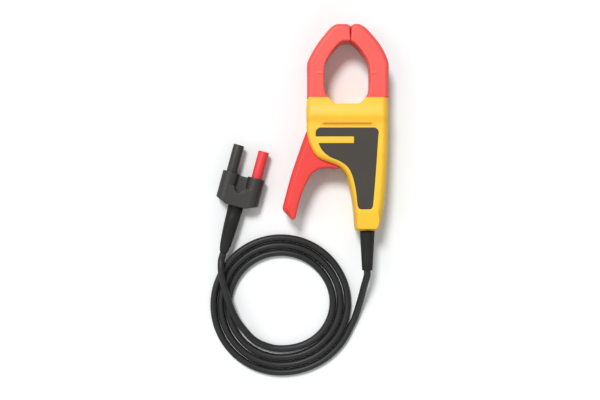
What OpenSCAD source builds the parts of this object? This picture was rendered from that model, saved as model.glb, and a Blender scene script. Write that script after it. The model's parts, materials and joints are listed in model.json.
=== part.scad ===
// Current clamp accessory: split-core jaws, trigger lever, two-part housing, coiled cord and twin plug.
// Frame: X = 0 and Y = 0 on the hinge axis, +Y towards the jaw tips, Z = 0 on the rear face.

/* [Jaws] */
// Height of the jaw tips above the hinge
jaw_reach = 77.5; // [72:0.5:84]
// Width of the jaw limbs at the tips
tip_limb_w = 12.6; // [12:0.1:13.2]
// Width of the conductor window
window_w = 32.9; // [31.5:0.1:34]
// Height of the window's floor above the hinge
window_floor = 18.9; // [18.7:0.1:20]
// Thickness of the jaws, front to back
jaw_t = 17; // [16.4:0.1:17.6]
// Bevel along the outer edges of the jaws
jaw_bevel = 2.6; // [1:0.1:3]

/* [Core] */
// Width of the core limbs
core_w = 5.6; // [5:0.1:5.8]
// Thickness of the core stack
core_t = 9; // [8:0.1:9.4]
// Length of the coil bobbin
bobbin_len = 18; // [14:0.5:19]
// Depth of the winding on the bobbin
winding_depth = 1.2; // [0.8:0.1:1.3]

/* [Housing] */
// Width of the housing across its shoulders
body_w = 60; // [55:0.5:65]
// Distance from the hinge to the lower end of the handle
handle_len = 73; // [67:0.5:79]
// Height of the front face above the rear face
face_z = 27; // [26.6:0.1:29]
// Height of the finger-guard hump above the front face
hump_h = 1.4; // [1:0.1:4]
// Wall thickness of the covers
wall = 2.2; // [1.8:0.1:2.3]
// Height of the plane where the covers meet
part_z = 14; // [13.8:0.1:14.4]
// Depth of the label panel's recess
label_depth = 0.6; // [0.4:0.1:0.8]

/* [Lever] */
// Diameter of the hinge pin
pin_d = 5; // [4:0.1:5.2]
// Wall of the hinge bush
bush_wall = 1; // [0.7:0.1:1.1]
// Opening angle of the jaws
open_angle = 29; // [20:1:29]
// Thickness of the trigger, front to back
trigger_t = 15; // [12:0.5:16]
// Extra length of the trigger beyond its drawn length
trigger_extra = 0; // [-6:0.5:4]
// Outer diameter of the return spring
spring_d = 8; // [7:0.1:8.2]
// Wire of the return spring
spring_wire = 1; // [0.8:0.1:1.2]

/* [Fasteners] */
// Shank diameter of the housing and lever screws
screw_d = 3; // [2.5:0.1:3]
// Head diameter of the housing and lever screws
screw_head_d = 5.4; // [4.8:0.1:5.4]

/* [Cord] */
// Diameter of the cord
cord_d = 5.1; // [4.6:0.1:5.4]
// Length of the strain relief outside the handle
relief_len = 29; // [25:0.5:32]
// Radius of the coil's outer turn
coil_r = 50.2; // [49.5:0.1:51]

/* [Plug] */
// Distance between the two plug contacts
plug_pitch = 19.05; // [19:0.05:19.1]
// Diameter of the contacts
contact_d = 4; // [3.9:0.05:4]
// Outer diameter of the shrouds
shroud_d = 8; // [7.6:0.1:8.2]
// Length of the shrouds beyond the plug body
shroud_len = 20.6; // [18:0.1:23]
// Thickness of the plug body
plug_t = 13; // [12.6:0.1:14]
// Length of the plug's boot
boot_len = 36; // [30:0.5:38]

/* [Hidden] */
$fn = 48;

// Colours
yellow = "#f6c644";
red = "#e8574f";
grey = "#55504e";
black = "#2b2b2a";
steel = "#b9bcc0";
brass = "#c9a24a";
copper = "#b8733a";

// Clearances: running fits, seats of fixed pieces and the space round the swinging lever
run_fit = 0.03;
seat_fit = 0.1;
lever_gap = 0.3;
// Space where the end of a cord meets the next piece
meet_gap = 0.05;
// Reach of a cut past the face it opens
past = 1;

// Half widths and levels that several pieces share
half_w = body_w / 2;
jaw_x = half_w - 0.4;
window_shift = -0.75;
window_left = window_w / 2 - window_shift;
window_right = window_w / 2 + window_shift;
window_top = jaw_reach - tip_limb_w;
shoulder = window_floor + 5;
tip_x = 2;
tip_gap = 0.1;
jaw_z0 = part_z - jaw_t / 2;
jaw_z1 = part_z + jaw_t / 2;
slot_z0 = jaw_z0 - lever_gap;
slot_z1 = jaw_z1 + lever_gap;
yoke_y = window_floor - 8.5;
yoke_gap = 0.15;
boss_r = pin_d / 2 + bush_wall + 3.1;

// Shared geometry helpers
function lerp(a, b, t) = a + (b - a) * t;
function unit(v) = v / norm(v);
function step01(t) = let (c = min(max(t, 0), 1)) c * c * (3 - 2 * c);
function turned(p, a) = [p[0] * cos(a) - p[1] * sin(a), p[0] * sin(a) + p[1] * cos(a)];
function last(c) = c[len(c) - 1];
function reversed(c) = [for (i = [len(c) - 1:-1:0]) c[i]];

// Point on the smooth curve through list p, on segment i at t from 0 to 1
function curve_at(p, i, t) =
    let (
        n = len(p) - 1,
        a = p[max(i - 1, 0)],
        b = p[i],
        c = p[min(i + 1, n)],
        d = p[min(i + 2, n)]
    )
    0.5 * (2 * b + (c - a) * t + (2 * a - 5 * b + 4 * c - d) * t * t + (3 * b - a - 3 * c + d) * t * t * t);

// Smooth curve through list p with k steps a segment
function smooth(p, k) = concat(
    [for (i = [0:len(p) - 2]) for (j = [0:k - 1]) curve_at(p, i, j / k)],
    [last(p)]
);

// Direction of a chain of points at point i, and the chain moved to its left by d
function along(c, i) = unit(c[min(i + 1, len(c) - 1)] - c[max(i - 1, 0)]);
function moved(c, d) = [for (i = [0:len(c) - 1]) c[i] + d * [-along(c, i)[1], along(c, i)[0]]];

// A rung joins a point of one edge to a point of the other: [x, y, x, y]
function edge_a(rungs) = [for (r = rungs) [r[0], r[1]]];
function edge_b(rungs) = [for (r = rungs) [r[2], r[3]]];

// One ring of a skin: both edges drawn in by their own inset, at one height
function flat_ring(rungs, ia, ib, z) = [
    for (p = concat(moved(edge_a(rungs), ia), reversed(moved(edge_b(rungs), -ib)))) [p[0], p[1], z]
];

// The same on the housing, where the lower corners are too tight for a full inset
corner_from = 6;
function tight(c, d, most) = [
    for (i = [0:len(c) - 1])
        let (
            lim = most + max(0, (c[i][1] + handle_len - corner_from) * 0.35),
            e = sign(d) * min(abs(d), lim)
        )
        c[i] + e * [-along(c, i)[1], along(c, i)[0]]
];
function housing_ring(rungs, ia, ib, most, z) = [
    for (p = concat(tight(edge_a(rungs), ia, most), reversed(tight(edge_b(rungs), -ib, most))))
        [p[0], p[1], z]
];

// Solid through a stack of rings made from the same rungs
module skin(rings) {
    m = len(rings[0]);
    n = m / 2;
    top = (len(rings) - 1) * m;
    sides = [
        for (k = [0:len(rings) - 2]) for (i = [0:m - 1])
            let (j = (i + 1) % m, a = k * m, b = a + m)
            each [[a + i, b + i, b + j], [a + i, b + j, a + j]]
    ];
    caps = [
        for (i = [0:n - 2])
            let (a = i, b = i + 1, c = m - 2 - i, d = m - 1 - i)
            each [[a, b, c], [a, c, d], [top + a, top + c, top + b], [top + a, top + d, top + c]]
    ];
    polyhedron(points = [for (r = rings) each r], faces = concat(sides, caps));
}

// Tube of m sides along path p, each ring square to the path
function ring_at(p, sides, i, r, m) =
    let (t = unit(p[min(i + 1, len(p) - 1)] - p[max(i - 1, 0)]), up = unit(cross(sides[i], t)))
    [for (k = [0:m - 1]) p[i] + r * (cos(360 * k / m) * sides[i] + sin(360 * k / m) * up)];

module tube(p, sides, d, m) {
    n = len(p);
    rings = [for (i = [0:n - 1]) ring_at(p, sides, i, d / 2, m)];
    walls = [
        for (i = [0:n - 2]) for (k = [0:m - 1])
            let (j = (k + 1) % m, a = i * m, b = a + m)
            each [[a + k, b + k, b + j], [a + k, b + j, a + j]]
    ];
    ends = [[for (k = [0:m - 1]) k], [for (k = [m - 1:-1:0]) (n - 1) * m + k]];
    polyhedron(points = [for (r = rings) each r], faces = concat(walls, ends));
}

// Side vectors of a path that is never upright
function level_sides(p) = [
    for (i = [0:len(p) - 1])
        let (t = p[min(i + 1, len(p) - 1)] - p[max(i - 1, 0)])
        unit([t[1], -t[0], 0])
];

// Least space between stretches of a path that are at least apart points from each other
function least_gap(p, apart, d) = min([
    for (i = [0:len(p) - apart - 1]) for (j = [i + apart:len(p) - 1]) norm(p[i] - p[j]) - d
]);

// Thin wire through points
module wire(p, d) {
    c = smooth(p, 3);
    tube(c, level_sides(c), d, 6);
}

// Upright prism between two heights
module prism(points, z0, z1) {
    translate([0, 0, z0]) linear_extrude(z1 - z0) polygon(points);
}

module box(a, b) {
    translate(a) cube(b - a);
}

module upright(x, y, z0, z1, r) {
    translate([x, y, z0]) cylinder(h = z1 - z0, r = r);
}

// Cylinder along +Y from y0 to y1
module lying(x, y0, y1, z, r) {
    translate([x, y0, z]) rotate([-90, 0, 0]) cylinder(h = y1 - y0, r = r);
}

// Screw pointing along +Z: head from z0, tip at z1
module screw(x, y, z0, z1, d, head_d, head_h) {
    upright(x, y, z0, z0 + head_h, head_d / 2);
    upright(x, y, z0 + head_h - 0.01, z1, d / 2);
}

// The handle hangs below the body on the line of the cord, and stretches with its length
cord_x = half_w - 15.5;
handle_top = -26;
drawn_len = 73;
function low(y) =
    y > handle_top ? y
    : handle_top + (y - handle_top) * (handle_len + handle_top) / (drawn_len + handle_top);

// Hump below the jaws: its crest and its foot, and the rows of the outline that follow its curve
hump_crest = 10.4;
hump_foot = 4.8;
crest_rows = [20, 17.4, 15, 12.6, hump_crest, 9];
foot_rows = [7.6, 6.2, hump_foot, 2.6];

// Housing outline from the shoulder to the lower end, left edge then right edge
left_swell = 0.6;
function side_rows(top) = [
    for (y = concat([top], crest_rows, foot_rows)) [-half_w - left_swell, y, half_w, y],
    [-half_w - left_swell, 0.2, half_w - 0.1, 0],
    [-half_w + 0.5, -6, half_w - 0.2, -6.5],
    [-half_w + 3, -13.6, half_w - 0.45, -14],
    [-half_w + 7.4, -19.8, half_w - 0.7, -20.5],
    [-half_w + 14, -22.9, half_w - 0.95, -26],
    [cord_x - 24, -25.2, half_w - 1.15, low(-30.5)],
    [cord_x - 18.8, low(-28.6), half_w - 1.4, low(-35)],
    [cord_x - 15.4, low(-34), half_w - 1.75, low(-40)],
    [cord_x - 12.6, low(-44.4), half_w - 2.4, low(-46.8)],
    [cord_x - 10.9, low(-54.5), half_w - 3.5, low(-55.5)],
    [cord_x - 10, 8 - handle_len, half_w - 5.3, 8 - handle_len]
];
end_rows = [
    [cord_x - 9.6, 2.6 - handle_len, half_w - 7.1, 2.6 - handle_len],
    [cord_x - 8.8, 0.6 - handle_len, half_w - 8.2, 0.6 - handle_len],
    [cord_x - 7, -handle_len, half_w - 10, -handle_len]
];
function housing_rungs(top) = smooth(concat(side_rows(top), end_rows), 2);

// The hollow inside the walls stops square, one wall short of the lower end.
// Its last rung lies lower by what drawing in the slanting sides will lift it.
hollow_end = wall - handle_len;
function hollow_rungs() = smooth(concat(
    side_rows(shoulder - wall),
    [[cord_x - 9.7, hollow_end - 0.15, half_w - 7, hollow_end - 0.6]]
), 2);

// Height of the front face: rounded hump below the jaws, flat panel, fall towards the cord
shoulder_drop = 2.6;
slope_y = 15 - handle_len;
slope_drop = 3;
function front_z(y) =
    y > hump_crest ? face_z + hump_h
        - (hump_h + shoulder_drop) * (1 - cos(90 * (y - hump_crest) / (shoulder - hump_crest)))
    : y > hump_foot ? face_z + hump_h * step01((y - hump_foot) / (hump_crest - hump_foot))
    : y > slope_y ? face_z
    : face_z - slope_drop * pow((slope_y - y) / (slope_y + handle_len), 1.5);

// Ring on the front cover, a drop below the front face or a share of the way up to it
function drop_ring(rungs, ia, ib, most, drop) = [
    for (p = housing_ring(rungs, ia, ib, most, 0)) [p[0], p[1], front_z(p[1]) - drop]
];
function share_ring(rungs, ia, ib, most, share) = [
    for (p = housing_ring(rungs, ia, ib, most, 0)) [p[0], p[1], lerp(part_z, front_z(p[1]), share)]
];

// Corner rounding of the covers on the left and right edges, and the most that the lower end takes
round_a = 4;
round_b = 5.2;
end_round = 1.6;
end_inner = wall + 0.1;

module front_outer() {
    h = housing_rungs(shoulder);
    skin([
        flat_ring(h, 0, 0, part_z),
        share_ring(h, 0.1, 0.3, end_round, 0.4),
        drop_ring(h, 0.1 * round_a, 0.22 * round_b, end_round, 4.2),
        drop_ring(h, 0.3 * round_a, 0.48 * round_b, end_round, 2),
        drop_ring(h, 0.6 * round_a, 0.74 * round_b, end_round, 0.7),
        drop_ring(h, round_a, round_b, end_round, 0)
    ]);
}

module front_inner() {
    h = hollow_rungs();
    skin([
        flat_ring(h, wall, wall, part_z - past),
        share_ring(h, wall + 0.4, wall + 0.4, end_inner, 0.4),
        drop_ring(h, wall + 1.2, wall + 1.4, end_inner, wall + 2.6),
        drop_ring(h, wall + 3.2, wall + 3.8, end_inner, wall)
    ]);
}

module rear_outer() {
    h = housing_rungs(shoulder);
    skin([
        housing_ring(h, round_a, round_b, end_round, 0),
        housing_ring(h, 0.7 * round_a, 0.7 * round_b, end_round, 0.6),
        housing_ring(h, 0.45 * round_a, 0.45 * round_b, end_round, 1.7),
        housing_ring(h, 0.22 * round_a, 0.22 * round_b, end_round, 3.8),
        housing_ring(h, 0.3, 0.3, end_round, 8),
        flat_ring(h, 0, 0, part_z)
    ]);
}

module rear_inner() {
    h = hollow_rungs();
    skin([
        housing_ring(h, wall + 3.2, wall + 3.8, end_inner, wall),
        housing_ring(h, wall + 1.2, wall + 1.4, end_inner, wall + 2.4),
        housing_ring(h, wall + 0.4, wall + 0.4, end_inner, 8),
        flat_ring(h, wall, wall, part_z + past)
    ]);
}

// Places of the housing screws: under the fixed jaw, beside the spring and in the handle
housing_screw_at = [[cord_x + 6, -3], [cord_x - 1.5, -24.4], [cord_x - 5.1, low(-53.5)]];
rear_boss_r = screw_head_d / 2 + 0.9;
front_boss_r = screw_d / 2 + 1.7;
head_h = 2.2;
head_z = 0.4;
screw_top = part_z + 7.5;

// Part of the window that the housing frames, and the wall kept below it
module window_cut() {
    left = -window_left + 2.8;
    prism([
        [-window_left + 7.6, window_floor],
        [window_right - 7.9, window_floor],
        [window_right - 2.9, shoulder - 0.3],
        [window_right - 2.9, shoulder + past],
        [left, shoulder + past],
        [left, shoulder - 0.1]
    ], -past, face_z + hump_h + past);
}

crotch_x0 = -window_left + 7.4;
module crotch_wall() {
    prism([
        [crotch_x0, shoulder + past],
        [crotch_x0, window_floor - wall],
        [window_right - 7, window_floor - wall],
        [window_right + 0.2, shoulder - 0.3],
        [window_right + 0.2, shoulder + past]
    ], -past, face_z + hump_h + past);
}

// Side opening in which the lever swings, down to the trigger's inner edge with the jaws open
slot_in = turned([-12.6, -27.9], open_angle);
slot_out = turned([-21, -29.5], open_angle);
module lever_slot() {
    prism([
        [-half_w - 20, shoulder + past],
        [crotch_x0 - 0.1, shoulder + past],
        [crotch_x0 - 0.1, 10],
        [0, -10],
        [max(slot_in[0], cord_x - 12), slot_in[1]],
        [min(slot_out[0], cord_x - 18.5), slot_out[1]],
        [-half_w - 20, -40]
    ], slot_z0, slot_z1);
}

// Opening through which the fixed jaw enters
root_x0 = window_right + 0.5;
root_x1 = half_w - wall - 0.8;
root_edge = 1.1;
module root_opening() {
    box([root_x0 - seat_fit, shoulder - wall - past, slot_z0],
        [root_x1 + seat_fit, shoulder + past, slot_z1]);
}

// Strain relief seat in the lower end
cord_z = part_z;
neck_r = cord_d / 2 + 1.5;
flange_r = cord_d / 2 + 2.4;
flange_gap = 0.3;
module relief_hole() {
    lying(cord_x, -handle_len - past, wall + past - handle_len, cord_z, neck_r + seat_fit);
}

// Label panel outline: top left round the lower left sweep to the bottom, and the right edge
label_left = smooth([
    [-half_w + 9.4, 1.65],
    [-half_w + 6.8, -0.4],
    [-half_w + 6.6, -5],
    [-half_w + 8.6, -9.8],
    [-half_w + 11.1, -14.6],
    [-half_w + 16.4, -19.3],
    [cord_x - 20.9, -22.4],
    [cord_x - 14.7, low(-27)],
    [cord_x - 11.2, low(-34.4)],
    [cord_x - 9, low(-44.6)],
    [cord_x - 8.1, low(-52.8)],
    [cord_x - 7.4, low(-55.7)],
    [cord_x - 6.2, low(-56.9)],
    [cord_x - 4.6, low(-57.2)]
], 3);
label_right = smooth([
    [half_w - 10.8, 1.65],
    [half_w - 8.4, -0.6],
    [half_w - 8.6, -6],
    [half_w - 9.8, -24],
    [half_w - 11, low(-40)],
    [half_w - 12.1, low(-52.4)],
    [half_w - 12.6, low(-55.5)],
    [half_w - 13.7, low(-56.9)],
    [half_w - 15.3, low(-57.2)]
], 3);
bar_y0 = -9.5;
bar_y1 = -4.8;
bar_x = 4;
panel_sink = 0.2;

module label_plate(z0, z1, fit) {
    difference() {
        prism(concat(moved(label_left, -fit), reversed(moved(label_right, fit))), z0, z1);
        box([-half_w, bar_y0 + fit, z0 - past], [bar_x - fit, bar_y1 - fit, z1 + past]);
    }
}

// Groove along the foot of the hump
groove_w = 1.2;
groove_depth = 0.9;
module hump_groove() {
    box([-half_w + 12, hump_foot - groove_w, face_z - groove_depth],
        [half_w - 13, hump_foot, face_z + past]);
}

hinge_boss_r = pin_d / 2 + 2.7;
pin_z0 = 1.2;
pin_z1 = face_z - 1.8;

module front_posts() {
    upright(0, 0, slot_z1 + 0.05, face_z, hinge_boss_r);
    for (s = housing_screw_at) {
        upright(s[0], s[1], part_z, face_z, front_boss_r);
    }
}

module front_housing() {
    color(yellow)
        difference() {
            front_outer();
            difference() {
                front_inner();
                crotch_wall();
                front_posts();
            }
            window_cut();
            lever_slot();
            root_opening();
            relief_hole();
            label_plate(face_z - label_depth, face_z + past, seat_fit);
            hump_groove();
            upright(0, 0, slot_z1 - past, pin_z1 + seat_fit, pin_d / 2 + run_fit);
            for (s = housing_screw_at) {
                upright(s[0], s[1], part_z - past, screw_top + 0.4, screw_d / 2 + seat_fit / 2);
            }
        }
}

// Return spring line and its abutment
spring_y = -16;
spring_x0 = -8.8;
abutment_x = cord_x + 5.9;
abutment_t = 2;

// Circuit board and cable clamp places
board_x0 = cord_x - 6.3;
board_x1 = cord_x + 7.9;
board_y1 = -31;
board_y0 = board_y1 - 16;
board_z = 6.4;
board_t = 1.6;
board_screw_at = [[board_x0 + 2.2, board_y1 - 2.2], [board_x1 - 2.2, board_y0 + 2.2]];
board_screw_d = 1.6;
lead_pad_x = board_x1 - 3.9;
cord_pad_x = board_x0 + 7.1;
pad_dx = 2;
clamp_y = 9.5 - handle_len;
clamp_w = 5;
clamp_post_dx = cord_d / 2 + 1.7;
clamp_post_r = 1.9;
clamp_z0 = part_z + 0.05;
clamp_z1 = cord_z + cord_d / 2 + 1.4;

// Plate and spigot that hold the fixed end of the return spring
module abutment() {
    box([abutment_x, spring_y - 5, wall - past], [abutment_x + abutment_t, spring_y + 5, part_z + 6]);
    translate([abutment_x + 0.5, spring_y, part_z])
        rotate([0, -90, 0])
            cylinder(h = 3.5, r = spring_d / 2 - spring_wire - 0.4);
}

module rear_posts() {
    upright(0, 0, 0, slot_z0 - 0.05, hinge_boss_r);
    for (s = housing_screw_at) {
        upright(s[0], s[1], 0, part_z, rear_boss_r);
    }
    for (s = board_screw_at) {
        upright(s[0], s[1], 0, board_z - 0.05, board_screw_d / 2 + 1.2);
    }
    for (side = [-1, 1]) {
        upright(cord_x + side * clamp_post_dx, clamp_y, 0, part_z, clamp_post_r);
    }
    box([cord_x - 3, clamp_y - 1.5, 0], [cord_x + 3, clamp_y + 1.5, cord_z - cord_d / 2 + 0.8]);
}

module rear_housing() {
    color(yellow) {
        difference() {
            rear_outer();
            difference() {
                rear_inner();
                crotch_wall();
                rear_posts();
            }
            window_cut();
            lever_slot();
            root_opening();
            relief_hole();
            upright(0, 0, pin_z0, slot_z0 + past, pin_d / 2 + run_fit);
            for (s = housing_screw_at) {
                upright(s[0], s[1], -past, head_z + head_h, screw_head_d / 2 + seat_fit);
                upright(s[0], s[1], 0, part_z + past, screw_d / 2 + seat_fit / 2);
            }
            for (s = board_screw_at) {
                upright(s[0], s[1], wall, board_z + past, board_screw_d / 2 + seat_fit / 2);
            }
            for (side = [-1, 1]) {
                upright(cord_x + side * clamp_post_dx, clamp_y, cord_z - 8, clamp_z0 + past,
                    board_screw_d / 2 + seat_fit / 2);
            }
            lying(cord_x, clamp_y - 3, clamp_y + 3, cord_z, cord_d / 2 + seat_fit / 2);
        }
        abutment();
    }
}

module label_panel() {
    color(grey)
        label_plate(face_z - label_depth + 0.02, face_z - panel_sink, 0);
}

module housing_screws() {
    color(steel)
        for (s = housing_screw_at) {
            screw(s[0], s[1], head_z, screw_top, screw_d, screw_head_d, head_h);
        }
}

// Jaw limb from tip to shoulder on the left (side -1) or from shoulder to tip on the right (side 1)
slant_y = window_top - 16;
slant_x = 9.8;
tip_round = 1.4;
fixed_bulge = 3.2;
moving_bulge = 2.3;

// Rung at t along the limb's bulging slant, to a point of the window at x, fall below its top
function slant_row(t, bulge, x, fall) = [
    lerp(jaw_x, slant_x, t) + 4 * bulge * t * (1 - t),
    lerp(slant_y, jaw_reach, t),
    x,
    window_top - fall
];
function limb_rows(w, tip, bulge) = concat(smooth([
    [jaw_x, shoulder + seat_fit, w - 2.9, shoulder + seat_fit],
    [jaw_x, shoulder + 4, w - 0.7, shoulder + 4],
    [jaw_x, shoulder + 8.5, w, shoulder + 8.5],
    [jaw_x, window_top - 22, w, window_top - 22],
    slant_row(0, bulge, w - 0.9, 16),
    slant_row(0.15, bulge, w - 2.4, 12.9),
    slant_row(0.32, bulge, w - 4.4, 9.6),
    slant_row(0.55, bulge, w - 7, 6),
    slant_row(0.78, bulge, w - 9.6, 3),
    slant_row(0.93, bulge, w - 11.3, 1.4),
    [slant_x - 1.8, jaw_reach, w - 13.4, window_top - 0.2]
], 2), [
    [tip + 2.6, jaw_reach, min(w - 13.5, tip + 2), window_top],
    [tip, jaw_reach - tip_round, tip, window_top]
]);
function limb_rungs(side) =
    side > 0
    ? limb_rows(window_right, tip_x + tip_gap, fixed_bulge)
    : reversed([
        for (r = limb_rows(window_left, -tip_x + tip_gap, moving_bulge)) [-r[0], r[1], -r[2], r[3]]
    ]);

// Half of a jaw limb: the front half rises from the parting plane, the rear half falls from it
module limb_half(side, front) {
    r = limb_rungs(side);
    h = jaw_t / 2;
    soft = 0.5;
    rings = front
        ? [
            flat_ring(r, 0, 0, part_z),
            flat_ring(r, 0, 0, jaw_z1 - jaw_bevel),
            flat_ring(r, 0.35 * jaw_bevel, 0, jaw_z1 - 0.4 * jaw_bevel),
            flat_ring(r, jaw_bevel, soft, jaw_z1)
        ]
        : [
            flat_ring(r, jaw_bevel, soft, jaw_z0),
            flat_ring(r, 0.35 * jaw_bevel, 0, jaw_z0 + 0.4 * jaw_bevel),
            flat_ring(r, 0, 0, jaw_z0 + jaw_bevel),
            flat_ring(r, 0, 0, part_z)
        ];
    skin(rings);
}

// Core: tip, slant, limb and yoke as one band of constant width
function limb_x(side) = side * (jaw_x + (side > 0 ? window_right : window_left)) / 2;
function core_line(side) =
    let (w = side > 0 ? window_right : window_left)
    [
        [tip_x + side * (tip_gap + 0.05), (window_top + jaw_reach) / 2],
        [side * (w - 9.1), (window_top + jaw_reach) / 2],
        [limb_x(side), window_top - 14],
        [limb_x(side), yoke_y],
        [side * yoke_gap, yoke_y]
    ];
function left_of(v) = [-v[1], v[0]];
function mitre(c, i, d) =
    let (
        u = unit(c[min(i + 1, len(c) - 1)] - c[min(i, len(c) - 2)]),
        v = unit(c[max(i, 1)] - c[max(i - 1, 0)]),
        m = unit(left_of(u) + left_of(v))
    )
    c[i] + m * d / (m * left_of(u));
function band(c, d) = concat(
    [for (i = [0:len(c) - 1]) mitre(c, i, d)],
    [for (i = [len(c) - 1:-1:0]) mitre(c, i, -d)]
);

module core(side) {
    color(steel) prism(band(core_line(side), core_w / 2), part_z - core_t / 2, part_z + core_t / 2);
}

module core_groove(side) {
    fit = seat_fit;
    line = core_line(side);
    ext = concat([line[0] - [side * past, 0]], [for (i = [1:3]) line[i]], [line[4] - [side * past, 0]]);
    prism(band(ext, core_w / 2 + fit), part_z - core_t / 2 - fit, part_z + core_t / 2 + fit);
}

// Coil on the straight limb of the fixed core
bobbin_wall = 0.7;
flange_t = 0.9;
bobbin_y = (shoulder + window_top - 15) / 2;
tube_x = core_w / 2 + seat_fit + bobbin_wall;
tube_z = core_t / 2 + seat_fit + bobbin_wall;
flange_out = winding_depth + 0.15;

module frame_block(dx, dz, y0, y1) {
    box([limb_x(1) - dx, y0, part_z - dz], [limb_x(1) + dx, y1, part_z + dz]);
}

module coil_bobbin() {
    y0 = bobbin_y - bobbin_len / 2;
    y1 = bobbin_y + bobbin_len / 2;
    color("#e9e4d4")
        difference() {
            union() {
                frame_block(tube_x, tube_z, y0, y1);
                frame_block(tube_x + flange_out, tube_z + flange_out, y0, y0 + flange_t);
                frame_block(tube_x + flange_out, tube_z + flange_out, y1 - flange_t, y1);
            }
            frame_block(core_w / 2 + seat_fit, core_t / 2 + seat_fit, y0 - past, y1 + past);
        }
}

module coil_winding() {
    y0 = bobbin_y - bobbin_len / 2 + flange_t + 0.05;
    y1 = bobbin_y + bobbin_len / 2 - flange_t - 0.05;
    color(copper)
        difference() {
            frame_block(tube_x + winding_depth, tube_z + winding_depth, y0, y1);
            frame_block(tube_x + 0.02, tube_z + 0.02, y0 - past, y1 + past);
        }
}

module coil_pocket() {
    y0 = bobbin_y - bobbin_len / 2 - 0.2;
    y1 = bobbin_y + bobbin_len / 2 + 0.2;
    frame_block(tube_x + flange_out + seat_fit, tube_z + flange_out + seat_fit, y0, y1);
}

// Two thin leads from the coil, in front of and behind the core, past the screw boss to the board
lead_d = 1;
lead_x = root_x1 - 0.7;
lead_dz = core_t / 2 + seat_fit + lead_d / 2 + 0.1;
lead_room = lead_d / 2 + 0.3;
module lead_channels() {
    for (side = [-1, 1]) {
        z = part_z + side * lead_dz;
        box([lead_x - lead_room, 0, z - lead_room],
            [root_x1 + seat_fit, bobbin_y - bobbin_len / 2, z + lead_room]);
    }
}

module winding_leads() {
    y0 = bobbin_y - bobbin_len / 2 - 0.3;
    color("#7a2f22")
        for (side = [-1, 1]) {
            wire([
                [lead_x, y0, part_z + side * lead_dz],
                [lead_x, 4, part_z + side * lead_dz],
                [lead_x, -4, part_z + side * (lead_dz - 0.4)],
                [lead_x - 0.6, -12, part_z + side * 3],
                [lead_x - 2.6, board_y1 + 4, part_z + side],
                [lead_pad_x + side * pad_dx, board_y1 - 3, board_z + board_t + lead_d / 2 + 0.6]
            ], lead_d);
        }
}

// Root of the fixed jaw inside the housing, with an eye round the first housing screw's boss
eye_r = rear_boss_r + 1.6;
module fixed_root(z0, z1) {
    s = housing_screw_at[0];
    zm0 = max(z0, part_z - 5);
    zm1 = min(z1, part_z + 5);
    box([root_x0, 4.6, z0], [root_x1 - root_edge, shoulder + 0.4, z1]);
    box([root_x0, 4.6, zm0], [root_x1, shoulder + 0.4, zm1]);
    box([s[0] - eye_r, s[1], z0], [s[0] + eye_r, 5, z1]);
    upright(s[0], s[1], z0, z1, eye_r);
}

module fixed_jaw_cuts() {
    s = housing_screw_at[0];
    core_groove(1);
    coil_pocket();
    lead_channels();
    upright(s[0], s[1], 0, face_z, rear_boss_r + 0.2);
}

// Alignment tick moulded on the front of a jaw, beside the window
tick_y = 41.4;
tick_len = 4;
module tick(side) {
    c = side * ((side > 0 ? window_right : window_left) + 1 + tick_len / 2);
    box([c - tick_len / 2, tick_y - 0.4, jaw_z1 - 0.5], [c + tick_len / 2, tick_y + 0.4, jaw_z1 + 0.25]);
}

module fixed_jaw_front() {
    color(red)
        difference() {
            union() {
                limb_half(1, true);
                fixed_root(part_z, jaw_z1);
                tick(1);
            }
            fixed_jaw_cuts();
        }
}

module fixed_jaw_rear() {
    color(red)
        difference() {
            union() {
                limb_half(1, false);
                fixed_root(jaw_z0, part_z);
            }
            fixed_jaw_cuts();
        }
}

module fixed_core() {
    core(1);
}

// Root of the moving jaw: shoulder block, yoke cover and hinge boss
joint_a = [-jaw_x + 1.4, 2.2];
joint_b = [-3.2, -boss_r - 0.3];
module moving_root(z0, z1) {
    prism([
        [-window_left + 2.8, shoulder + 0.4],
        [joint_a[0], shoulder + 0.4],
        joint_a,
        joint_b,
        [0, 0],
        [-1, yoke_y + 4.4],
        [crotch_x0 - 0.8, yoke_y + 5.2],
        [crotch_x0 - 0.8, shoulder - 4.2]
    ], z0, z1);
    upright(0, 0, z0, z1, boss_r);
}

// Trigger tongue between the jaw halves
tongue_t = 7;
tongue_x0 = -25.5;
tongue_x1 = -boss_r - 1.6;
tongue_y1 = yoke_y - core_w / 2 - 1.1;
lever_screw_at = [[-21.5, 3.2], [-12, 1]];
lever_head_z = jaw_z0 + 0.2;
lever_screw_top = jaw_z1 - 2;

module tongue(fit) {
    prism([
        [tongue_x0 - fit, -1],
        [tongue_x1 + fit, -boss_r - 2.5],
        [tongue_x1 + fit, tongue_y1 + fit],
        [tongue_x0 - fit, tongue_y1 + fit]
    ], part_z - tongue_t / 2 - fit, part_z + tongue_t / 2 + fit);
}

module lever_screw_holes() {
    for (s = lever_screw_at) {
        upright(s[0], s[1], jaw_z0 - past, lever_head_z + head_h, screw_head_d / 2 + seat_fit);
        upright(s[0], s[1], jaw_z0, lever_screw_top + 0.4, screw_d / 2 + seat_fit / 2);
    }
}

module moving_jaw_cuts() {
    core_groove(-1);
    tongue(seat_fit);
    lever_screw_holes();
    upright(0, 0, 0, face_z, pin_d / 2 + bush_wall + run_fit);
}

module moving_jaw_front() {
    color(red)
        difference() {
            union() {
                limb_half(-1, true);
                moving_root(part_z, jaw_z1);
                tick(-1);
            }
            moving_jaw_cuts();
        }
}

module moving_jaw_rear() {
    color(red)
        difference() {
            union() {
                limb_half(-1, false);
                moving_root(jaw_z0, part_z);
            }
            moving_jaw_cuts();
        }
}

module moving_core() {
    core(-1);
}

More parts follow.
